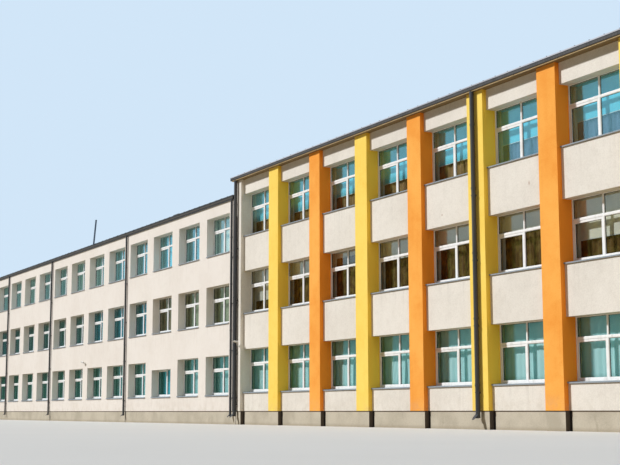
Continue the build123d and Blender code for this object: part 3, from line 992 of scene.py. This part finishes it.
def rain_pipe(radius, axis_y, top):
    start = (0, axis_y, top)
    pipe = blank("pipe", bpy.ops.mesh.primitive_circle_add, vertices=pipe_sides, radius=radius, location=start)
    bpy.ops.object.mode_set(mode="EDIT")
    bpy.ops.mesh.select_mode(type="EDGE")
    bpy.ops.mesh.select_all(action="SELECT")
    collars = int((top - shoe_foot) / collar_spacing)
    first = (top - shoe_foot - (collars - 1) * collar_spacing) / 2
    for n in range(collars):
        ring_down(collar_spacing - collar_height if n else first)
        ring_down(0, collar_scale)
        ring_down(collar_height)
        ring_down(0, 1 / collar_scale)
    level = top - first - collar_height - (collars - 1) * collar_spacing
    ring_down(level - shoe_foot)
    centre = (0, axis_y - radius * shoe_bend, shoe_foot)
    bpy.ops.mesh.spin(steps=6, angle=-shoe_turn, center=centre, axis=(1, 0, 0), use_auto_merge=False)
    out = Vector((0, -math.sin(shoe_turn), -math.cos(shoe_turn))) * radius * shoe_bend
    bpy.ops.mesh.extrude_edges_move(TRANSFORM_OT_translate={"value": out})
    bpy.ops.mesh.select_all(action="SELECT")
    bpy.ops.mesh.remove_doubles(threshold=1e-5)
    bpy.ops.mesh.normals_make_consistent(inside=False)
    close_piece()
    modify(pipe, "SOLIDIFY", thickness=pipe_sheet, offset=-1)
    smooth(pipe)
    return dress(pipe, pipe_coat)


def pipe_clamp(radius, axis_y, wall_face):
    """A clamp ring round the pipe, with two lugs and a pin to a foot plate on the wall."""
    clamp = blank(
        "clamp", bpy.ops.mesh.primitive_cylinder_add,
        vertices=pipe_sides, radius=radius + 0.004, depth=0.014, location=(0, axis_y, 0),
    )
    open_piece(clamp)
    pick(clamp, lambda at, to: abs(to.z) > 0.9)
    bpy.ops.mesh.inset(thickness=0.003, use_individual=True)
    bpy.ops.mesh.bridge_edge_loops()
    for side in (-1, 1):
        push(clamp, (side * 0.012, 0, 0), lambda at, to: to.x * side > 0.98)
    close_piece()
    pin = round_edges(block("pin", (-0.005, axis_y + radius, -0.004), (0.005, wall_face, 0.004)), 0.001)
    foot = round_edges(block("foot", (-0.012, wall_face - 0.003, -0.012), (0.012, wall_face, 0.012)), 0.001)
    return dress(joined("clamp", [clamp, pin, foot]), pipe_coat)


def pipe_run(name, node, front_spots, back_spots, radius, axis_y, wall_face, top):
    pipe, clamp = rain_pipe(radius, axis_y, top), pipe_clamp(radius, axis_y, wall_face)
    levels = [lowest_clamp + collar_spacing * n for n in range(int(top - 0.4))]
    made = []
    for piece, heights in ((pipe, [0]), (clamp, levels)):
        for behind, spots in ((False, front_spots), (True, back_spots)):
            made += copies(piece, [(x, 0, z) for x in spots for z in heights], behind)
    away(pipe, clamp)
    fit_piece(joined(name, made), "pipe_metal", node)


left_pipes = [-14.03, -9.188, -2.732, 3.698]
right_pipes = [3.912, 12.4345]
pipe_run(
    "left_rain_pipes", "left_downpipes", left_pipes, left_pipes[1::2],
    radius=0.025, axis_y=-3.239, wall_face=left_face, top=eaves_bottom + 0.01,
)
pipe_run(
    "right_rain_pipes", "right_downpipes", right_pipes, right_pipes[1:],
    radius=0.035, axis_y=-3.249, wall_face=pilaster_face, top=5.18,
)

# %% [markdown]
# The lightning protection comes down beside three of the pipes. Two flat earthing strips rise out of the
# ground to a test clamp, and a thin round conductor runs down the corner at the junction, held by clips.
# A strip is a block whose top is extruded out into the clamp; the conductor is a cylinder with a rounded
# end, and the clips are small plates with bevelled edges.

# %% Earthing strips and conductor
strip_places = (-2.70, -9.14)
strip_top = 0.42
strip_clamp = strip_top - 0.035
conductor_x, conductor_y = 3.958, -3.232
conductor_radius = 0.005
conductor_top = 4.4
clip_levels = (0.42, 1.47, 2.6, 3.7)


def earthing_strip(x):
    strip = block("earthing_strip", (x - 0.006, left_face - 0.004, 0.0), (x + 0.006, left_face + 0.001, strip_top))
    open_piece(strip)
    cut_across(strip, 2, (strip_clamp,))
    push(strip, (0, -0.006, 0), lambda at, to: to.y < -0.9 and at.z > strip_clamp)
    resize(2.0, 1, 1)
    close_piece()
    return round_edges(strip, 0.001)


def conductor_clip(level):
    low = (conductor_x - 0.012, conductor_y - 0.008, level - 0.011)
    return round_edges(block("clip", low, (conductor_x + 0.012, pilaster_face, level + 0.011)), 0.002)


place = (conductor_x, conductor_y, conductor_top / 2)
conductor = blank(
    "conductor", bpy.ops.mesh.primitive_cylinder_add,
    vertices=10, radius=conductor_radius, depth=conductor_top, location=place,
)
round_edges(conductor, 0.002)
strips = [earthing_strip(x) for x in strip_places]
earthing = joined("earthing_metal", strips + [conductor] + [conductor_clip(level) for level in clip_levels])
fit_piece(dress(earthing, pipe_coat), "pipe_metal")

# %% [markdown]
# Two small cameras watch the front. Each is a bullet housing with a visor, on a jointed arm and a round
# base plate. The housing is a cylinder that is inset at its front for the lens hood, the visor is a bent
# plate over it, and the arm is a chain of extruded steps.

# %% Wall cameras
shell = start_finish("shell_plastic", chart(214, 212, 205), 0.45)
shell_plastic = shell.done(shell.mix(shell.noise(30.0), chart(222, 220, 214), chart(186, 182, 172)))
lens_finish = start_finish("lens_glass", chart(16, 17, 20), 0.08)
lens_finish.gloss(lens_finish.noise(90.0, 2.0), 0.04, 0.22)
lens_glass = lens_finish.owner


def camera_arm(x, wall_face, level, reach, lift):
    """The base plate on the wall and a jointed arm that goes out and up from it."""
    arm = blank("arm", bpy.ops.mesh.primitive_cylinder_add, vertices=24, radius=0.028, depth=0.008)
    turn = Matrix.Rotation(math.pi / 2, 4, "X")
    arm.data.transform(Matrix.Translation((x, wall_face - 0.004, level)) @ turn)
    open_piece(arm)
    pick(arm, lambda at, to: to.y < -0.9)
    bpy.ops.mesh.inset(thickness=0.019)
    for out, up, scale in ((0.45, 0, 1), (0.1, 0.33, 1.4), (0.2, 0.5, 1), (0.12, 0.17, 0.7)):
        extrude(0, -reach * out, lift * up)
        if scale != 1:
            resize(scale, 1, scale)
    close_piece()
    return dress(arm, shell_plastic)


def camera_head():
    """The housing with its lens, and the visor over it."""
    housing = blank("housing", bpy.ops.mesh.primitive_cylinder_add, vertices=24, radius=0.02, depth=0.1)
    open_piece(housing)
    pick(housing, lambda at, to: to.z > 0.9)
    bpy.ops.mesh.inset(thickness=0.003)
    extrude(0, 0, -0.01)
    close_piece()
    dress(housing, shell_plastic, lens_glass)
    for polygon in housing.data.polygons:
        polygon.material_index = int(polygon.normal.z > 0.9 and abs(polygon.center.z - 0.04) < 0.001)
    visor = block("visor", (-0.022, 0.015, -0.04), (0.022, 0.018, 0.062))
    open_piece(visor)
    cut_across(visor, 0, [-0.014, 0.014])
    for side in (-1, 1):
        push(visor, (side * 0.002, -0.014, 0), lambda at, to: to.y < -0.9 and at.x * side > 0.014)
    close_piece()
    return joined("head", [housing, dress(round_edges(visor, 0.001), shell_plastic)])


def bullet_camera(name, x, wall_face, level, reach, rise, tilt, pan):
    """An arm out to reach and up to rise, and the head at its end, tilted and panned in degrees."""
    arm, head = camera_arm(x, wall_face, level, reach, rise - 0.018), camera_head()
    aim = Matrix.Translation((x, wall_face - reach - 0.006, level + rise))
    for angle, axis in ((pan, "Z"), (-tilt, "Y"), (-90, "Y"), (90, "Z")):
        aim = aim @ Matrix.Rotation(math.radians(angle), 4, axis)
    head.data.transform(aim)
    whole = joined(name, [arm, head])
    smooth(whole)
    return whole


middle_camera_x = left_middles[5] - left_width / 2 - 0.207
wall_cameras = [
    bullet_camera(
        "middle_camera", middle_camera_x, left_face, level=1.61, reach=0.07, rise=0.03, tilt=-12, pan=20
    ),
    bullet_camera(
        "junction_camera", junction - 0.03, pilaster_face, level=1.63, reach=0.085, rise=0.09, tilt=-10, pan=55
    ),
]
fit_piece(joined("bullet_cameras", wall_cameras), "camera_shell", "wall_cameras")

# %% [markdown]
# A thin steel mast stands on the left roof, a little out of plumb, on a square foot with a collar. It
# tapers in two steps: a cylinder's top is extruded up, narrowed, and extruded again.

# %% Roof mast
mast_tilt = math.radians(4.5)
mast_tilt_axis = Vector((-0.877, 0.48, 0))
mast_base = Vector((-6.743, -2.78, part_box("roof_mast")[0].z))
steel = start_finish("mast_steel", chart(80, 94, 112), 0.45, Metallic=0.2)
steel_marks = steel.noise(1.0, 3.0, (40, 40, 6))
mast_steel = steel.done(steel.mix(steel_marks, chart(84, 98, 116), chart(62, 74, 90)))
foot = block("mast_foot", mast_base + Vector((-0.06, -0.06, 0)), mast_base + Vector((0.06, 0.06, 0.03)))
round_edges(foot, 0.003)
collar_place = mast_base + Vector((0, 0, 0.055))
tube = blank(
    "mast_tube", bpy.ops.mesh.primitive_cylinder_add,
    vertices=20, radius=0.024, depth=0.06, location=collar_place,
)
open_piece(tube)
top_level = collar_place.z + 0.03
for scale, rise in ((0.58, 0.0), (1.0, 0.42), (0.75, 0.0), (1.0, 0.385)):
    push(tube, (0, 0, rise), lambda at, to: to.z > 0.9 and at.z > top_level - 1e-4)
    resize(scale, scale, 1)
    top_level += rise
close_piece()
lean = Matrix.Rotation(mast_tilt, 4, mast_tilt_axis)
tube.data.transform(Matrix.Translation(mast_base) @ lean @ Matrix.Translation(-mast_base))
mast = dress(joined("leaning_mast", [foot, tube]), mast_steel)
smooth(mast)
fit_piece(mast, "mast_steel", "roof_mast")

# %% [markdown]
# Near the junction a ventilation box stands on the left roof: four sides with louvre slots under a sloping
# lid that overhangs them. The slots are strips between planes, pressed in along their normals. The lid is a
# block whose back is lifted.

# %% Roof vent
vent_low, vent_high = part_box("roof_vent")
vent_overhang = 0.02
lid_rise = 0.03
slot_count = 4
slot_depth = 0.01
sides_top = vent_high.z - lid_rise - 0.01
vent = block(
    "vent_sides",
    (vent_low.x + vent_overhang, vent_low.y + vent_overhang, vent_low.z),
    (vent_high.x - vent_overhang, vent_high.y - vent_overhang, sides_top),
)
slot_shares = [0.2 + 0.7 * n / (2 * slot_count) for n in range(2 * slot_count + 1)]
slot_levels = [vent_low.z + (sides_top - vent_low.z) * share for share in slot_shares]
open_piece(vent)
cut_across(vent, 2, slot_levels)
for slot_low, slot_high in zip(slot_levels[::2], slot_levels[1::2]):
    pick(vent, lambda at, to: abs(to.z) < 0.1 and slot_low < at.z < slot_high)
    bpy.ops.mesh.extrude_region_shrink_fatten(TRANSFORM_OT_shrink_fatten={"value": -slot_depth})
close_piece()
lid_top = vent_high.z - lid_rise
lid = block("vent_lid", (vent_low.x, vent_low.y, lid_top - 0.014), (vent_high.x, vent_high.y, lid_top))
open_piece(lid)
pick(lid, lambda at, to: to.y > 0.9)
bpy.ops.transform.translate(value=(0, 0, lid_rise))
close_piece()
round_edges(lid, 0.002)
fit_piece(dress(joined("louvred_vent", [vent, lid]), roof_sheet), "roof_sheet", "roof_vent")

# %% [markdown]
# The roofs are covered with long sheets whose edges are folded up into standing seams. Each seam is a thin
# upright strip that follows the fall from ridge to eaves, so one seam is modelled level, turned to the
# pitch and copied along the roof.

# %% Standing seams
roof_pitch = math.radians(3)
seam_spacing = 0.3
seam_height = 0.012


def seams(roof, half_width, eaves_top):
    seam = block("seam", (-0.0025, 0, -0.004), (0.0025, half_width / math.cos(roof_pitch), seam_height))
    open_piece(seam)
    push(seam, (0, 0, 0.002), lambda at, to: to.z > 0.9)
    push(seam, (0.004, 0, 0), lambda at, to: to.x > 0.9 and at.z > seam_height)
    close_piece()
    lift = Matrix.Translation((0, -half_width, eaves_top))
    seam.data.transform(lift @ Matrix.Rotation(roof_pitch, 4, "X"))
    dress(seam, roof_sheet)
    low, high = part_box(roof)
    spots = [(x, 0, 0) for x in spaced(low.x, high.x, seam_spacing, margin=0.1)]
    made = joined(f"{roof}_seams", copies(seam, spots) + copies(seam, spots, behind=True))
    away(seam)
    fit_piece(made, "roof_sheet")


seams("left_roof", half_width=3.226, eaves_top=4.9)
seams("right_roof", half_width=3.261, eaves_top=5.273)

# %% [markdown]
# Behind the glass hang curtains and roller blinds, and they give the windows their colour: aqua curtains on
# the ground floor, cream blinds and green curtains above, cyan blinds on the top floor. A curtain is a
# grid of cloth whose points are moved into folds: the folds are shallow at the rail and deeper towards the
# hem, and no two are quite alike. Its flat width is the length measured along the folds.

# %% Cloth
cloth_thickness = 0.001
cloth_rows = 6
steps_per_fold = 6
hem_height = 0.012
sheets = []


def woven_cloth(name, light, dark, fold_shade=0.35):
    """Plain woven cloth: a fine thread grain, upright streaks of painted fold shade, and a soft sheen."""
    finish = start_finish(name, light, 0.9, Sheen_Weight=0.15, Specular_IOR_Level=0.2)
    clouds, threads = finish.noise(1.0, 3.0, (9, 9, 1.2)), finish.noise(1.0, 2.0, (400, 400, 60))
    shade = finish.plus(finish.fade(clouds, 0.35, 0.75, fold_shade), finish.times(threads, 0.25))
    return finish.done(finish.mix(shade, light, dark), threads, 0.0008, 0.4)


cloths = {
    colour: woven_cloth(f"{colour}_cloth", chart(*light), chart(*dark))
    for colour, light, dark in (
        ("aqua", (220, 252, 250), (178, 236, 232)),
        ("cyan", (112, 226, 246), (70, 202, 230)),
        ("teal", (104, 176, 184), (70, 142, 152)),
        ("green", (204, 216, 180), (172, 186, 148)),
        ("cream", (250, 250, 234), (238, 238, 216)),
        ("brown", (172, 138, 92), (136, 104, 62)),
        ("umber", (104, 74, 30), (76, 52, 20)),
        ("slate", (92, 116, 140), (68, 88, 112)),
    )
}
hem_tape = woven_cloth("hem_tape", chart(240, 250, 246), chart(224, 236, 232), 0.1)


def cloth_grid(name, columns, rows):
    """A flat sheet of cloth, standing from (0, 0) to (1, 1) in X and Z, ready to be moved into shape."""
    sheet = blank(name, bpy.ops.mesh.primitive_grid_add, x_subdivisions=columns, y_subdivisions=rows, size=1)
    sheet.data.transform(Matrix.Translation((0.5, 0, 0.5)) @ Matrix.Rotation(math.pi / 2, 4, "X"))
    return sheet


def finish_cloth(sheet, colour):
    modify(sheet, "SOLIDIFY", thickness=cloth_thickness, offset=0)
    bpy.ops.object.shade_smooth()
    sheet.data.materials.append(cloths[colour])
    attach(sheet, "root")
    sheets.append(sheet.name)


def curtain(name, left, right, y, bottom, top, colour, lean=0.0, folds_per_metre=8.5, depth=0.016):
    """A gathered curtain between two posts of its rail. Lean draws the folds aside towards the hem."""
    chance = random.Random(name)
    folds = max(3, round((right - left) * folds_per_metre))
    sheet = cloth_grid(name, folds * steps_per_fold, cloth_rows)
    drift = [chance.uniform(-0.9, 0.9) for _ in range(folds + 2)]
    swell = [chance.uniform(0.55, 1.15) for _ in range(folds + 2)]
    for vertex in sheet.data.vertices:
        u, v = vertex.co.x, vertex.co.z
        fold = u * folds
        here, share = int(fold), fold - int(fold)
        turn = drift[here] * (1 - share) + drift[here + 1] * share
        size = swell[here] * (1 - share) + swell[here + 1] * share
        hang = 1 - v
        wave = math.sin(2 * math.pi * fold + turn) * depth * size * (0.45 + 0.55 * hang)
        aside = lean * hang**1.5 * math.sin(math.pi * min(1.0, max(0.0, u)))
        vertex.co = (left + (right - left) * u + aside, y + wave, bottom + (top - bottom) * v)
    row = sorted((vertex.co for vertex in sheet.data.vertices if vertex.co.z < bottom + 1e-6), key=lambda co: co.x)
    flat_width = sum((b - a).length for a, b in zip(row, row[1:]))
    finish_cloth(sheet, colour)
    return flat_width


def roller_blind(name, middle, width, y, bottom, top, colour):
    """A flat blind that hangs from its roller, bowed a little, with a hem tape round its bottom bar."""
    chance = random.Random(name)
    sheet = cloth_grid(name, 6, 12)
    hem = hem_height / (top - bottom)
    bow = chance.uniform(-0.003, 0.003)
    for vertex in sheet.data.vertices:
        u, v = vertex.co.x, vertex.co.z
        v = hem if 0.01 < v < 0.1 else v
        belly = math.sin(math.pi * u) * bow * (1 - v) + 0.002 * math.sin(5 * v + bow * 900)
        vertex.co = (middle + (u - 0.5) * width, y + belly, bottom + (top - bottom) * v)
    finish_cloth(sheet, colour)
    sheet.data.materials.append(hem_tape)
    for polygon in sheet.data.polygons:
        polygon.material_index = int(polygon.center.z < bottom + hem_height)


print("cloth in", len(cloths), "colours")

# %% [markdown]
# The curtains hang from slim rails on the inner wall, one along each wing and storey, and the blinds from
# rollers above the window head. The ground-floor curtains of the right wing hang flatter, close to the
# wall, each from a rod of its own. A rail is a block whose underside is inset and pressed up into a track.
# A roller's case is a block with a rounded front, and a rod is a cylinder whose ends are widened into knobs.

# %% Rails and rollers
rail_drop = 0.07
rail_stand_off = 0.045
rail_gauge = 0.012
case_size = 0.024
case_lift = 0.042
rod_radius = 0.004
rod_lift = 0.03
rod_y = -2.858
knob = 0.004


def curtain_rail(left, right, inner_face, level):
    """A track with its underside open, held off the wall by small brackets."""
    y, top = inner_face + rail_stand_off, level + rail_gauge
    rail = block("rail", (left, y - rail_gauge, level), (right, y + rail_gauge, top))
    open_piece(rail)
    pick(rail, lambda at, to: to.z < -0.9)
    bpy.ops.mesh.inset(thickness=rail_gauge * 0.5)
    extrude(0, 0, rail_gauge * 0.6)
    close_piece()
    bracket = round_edges(block("bracket", (-0.006, inner_face, top), (0.006, y, top + 0.006)), 0.001)
    count = max(2, int((right - left) / 0.8))
    spots = [(left + 0.05 + (right - left - 0.1) * n / (count - 1), 0, 0) for n in range(count)]
    whole = dress(joined("rail", [rail] + copies(bracket, spots)), shell_plastic)
    away(bracket)
    return whole


def curtain_rod(length):
    """A thin rod with a knob at each end, held off the wall by two brackets."""
    turned = (0, math.pi / 2, 0)
    rod = blank(
        "rod", bpy.ops.mesh.primitive_cylinder_add,
        vertices=12, radius=rod_radius, depth=length - 2 * knob, rotation=turned,
    )
    open_piece(rod)
    push(rod, (0, 0, 0), lambda at, to: abs(to.x) > 0.9)
    resize(1, 2, 2)
    for side in (-1, 1):
        push(rod, (side * knob, 0, 0), lambda at, to: to.x * side > 0.9 and at.x * side > length / 2 - 0.005)
    close_piece()
    brackets = []
    for place in (0.015 - length / 2, length / 2 - 0.015):
        low = (place - 0.004, right_inner - rod_y, -0.004)
        brackets.append(round_edges(block("bracket", low, (place + 0.004, 0.0, 0.004)), 0.001))
    return dress(joined("rod", [rod] + brackets), shell_plastic)


def roller_case(width):
    case = block("case", (-width / 2, 0, -case_size), (width / 2, case_size, 0))
    return dress(round_edges(case, 0.006, segments=3), shell_plastic)


left_room = (left_end + 0.3, step_left - 0.05)
right_room = (step_left + 0.3, right_end - 0.3)
wings = (
    ("left", left_room, left_inner, left_sills, left_height),
    ("right", right_room, right_inner, right_sills, right_height),
)
rails = []
for storey in range(storeys):
    for _, room, inner, sills, height in wings:
        rail = curtain_rail(*room, inner, sills[storey] + height + rail_drop)
        rails += [rail] + copies(rail, [(sum(room), 0, 0)], behind=True)
fit_piece(joined("curtain_rails", rails), "frame_white")

# %% [markdown]
# Each window of the left wing's front gets its own cloth, as the photograph shows it. The ground floor is
# aqua, with one window in cyan. In the middle row most are pale green, one is brown and four are cyan or
# teal. The top row changes from window to window. The letters name the cloths, counted from the junction.

# %% Curtains of the left wing
floor_names = ("ground", "middle", "top")
curtain_margin = 0.04
below_sill = 0.03
tones = {colour[0]: colour for colour in ("aqua", "cyan", "teal", "green", "brown")}
tones["k"] = "cream"
left_tones = ("aacaaaaaaaaa", "ggbtccgggggt", "ktctcggttgtt")
left_leans = {(1, 1): -0.16, (2, 0): 0.1, (5, 0): -0.08, (6, 0): -0.05, (4, 0): -0.07, (3, 0): -0.05}
cloth_width = 0
for floor_name, letters, sill in zip(floor_names, left_tones, left_sills):
    for column, letter in enumerate(letters):
        middle, reach = left_middles[column], left_width / 2 + curtain_margin
        cloth_width += curtain(
            f"left_{floor_name}_curtain_{column + 1}", middle - reach, middle + reach,
            left_inner + rail_stand_off, sill - below_sill, sill + left_height + rail_drop,
            tones[letter], left_leans.get((column, floor_names.index(floor_name)), 0.0),
        )
print("the left wing's front has", round(cloth_width, 1), "m of curtain cloth")

# %% [markdown]
# The right wing's ground floor is aqua too. Its middle row has cream blinds drawn to different heights, and
# its top row has cyan blinds drawn to half way down the lower lights. Beside each blind the spare cloth
# hangs in a narrow stack, and a darker curtain behind both closes the window. That curtain's colour is
# painted reflection over painted shade: umber in the middle row for mirrored trees over a dim room, and in
# the top row brown for mirrored trees and slate blue for mirrored sky.

# %% Curtains and blinds of the right wing
blind_y = right_inner + 0.008
stack_width = 0.055
overlap = 0.02
right_leans = {3: -0.22, 2: -0.08}
middle_hems = (0.26, 0.56, 0.80, 0.57, 0.61, 0.62, 0.315)
top_hems = (0.30, 0.26, 0.30, 0.28, 0.31, 0.341, 0.353)
# brown where trees and slate blue where the sky is mirrored in the lower panes: a painted reflection
top_cloths = ["brown"] * 5 + ["slate"] * 2
half = right_width / 2
for bay, middle in enumerate(bay_middles):
    curtain(
        f"right_ground_curtain_{bay + 1}", middle - half - overlap, middle + half + overlap,
        rod_y, right_sill - below_sill, right_sill + right_height + rod_lift,
        "aqua", right_leans.get(bay, 0.0), depth=0.007,
    )
    for storey, hem, colour, behind in (
        (1, middle_hems[bay], "cream", "umber"),
        (2, top_hems[bay], "cyan", top_cloths[bay]),
    ):
        start = f"right_{floor_names[storey]}"
        sill, head = right_sills[storey], right_sills[storey] + right_height
        case_middle = head + case_lift - case_size / 2
        curtain(
            f"{start}_curtain_{bay + 1}", middle - half - curtain_margin, middle + half + curtain_margin,
            right_inner + rail_stand_off, sill - below_sill, head + rail_drop,
            behind, depth=0.012,
        )
        curtain(
            f"{start}_stack_{bay + 1}", middle - half - overlap, middle - half + stack_width,
            blind_y, sill - below_sill, case_middle,
            "cream", folds_per_metre=30, depth=0.005,
        )
        roller_blind(
            f"{start}_blind_{bay + 1}", middle + stack_width / 2, right_width + 0.05 - stack_width,
            blind_y, sill + hem, case_middle, colour,
        )
rod, case = curtain_rod(right_width + 0.08), roller_case(right_width + 0.06)
rod_places = [(middle, rod_y, right_sill + right_height + rod_lift) for middle in bay_middles]
roller_places = [
    (middle, right_inner, sill + right_height + case_lift) for middle in bay_middles for sill in right_sills[1:]
]
fit_piece(joined("curtain_rods", copies(rod, rod_places)), "frame_white")
fit_piece(joined("blind_rollers", copies(case, roller_places)), "frame_white")
away(rod, case)

# %% [markdown]
# The back plainly repeats the front, so one long curtain runs behind each of its window rows. These long
# curtains also close the rooms, and through the front panes they show as the dim far side: green and
# teal behind the left wing's upper rows, brown and slate blue behind the right wing's.

# %% Curtains of the back
back_cloths = {"left": ("aqua", "green", "teal"), "right": ("aqua", "brown", "slate")}
for storey, floor_name in enumerate(floor_names):
    for side, room, inner, sills, height in wings:
        curtain(
            f"{side}_back_{floor_name}_curtain", room[0] + overlap, room[1] - overlap,
            -inner - rail_stand_off, sills[storey] - below_sill, sills[storey] + height + rail_drop,
            back_cloths[side][storey], folds_per_metre=6, depth=0.02,
        )
print("sheets of cloth:", len(sheets))
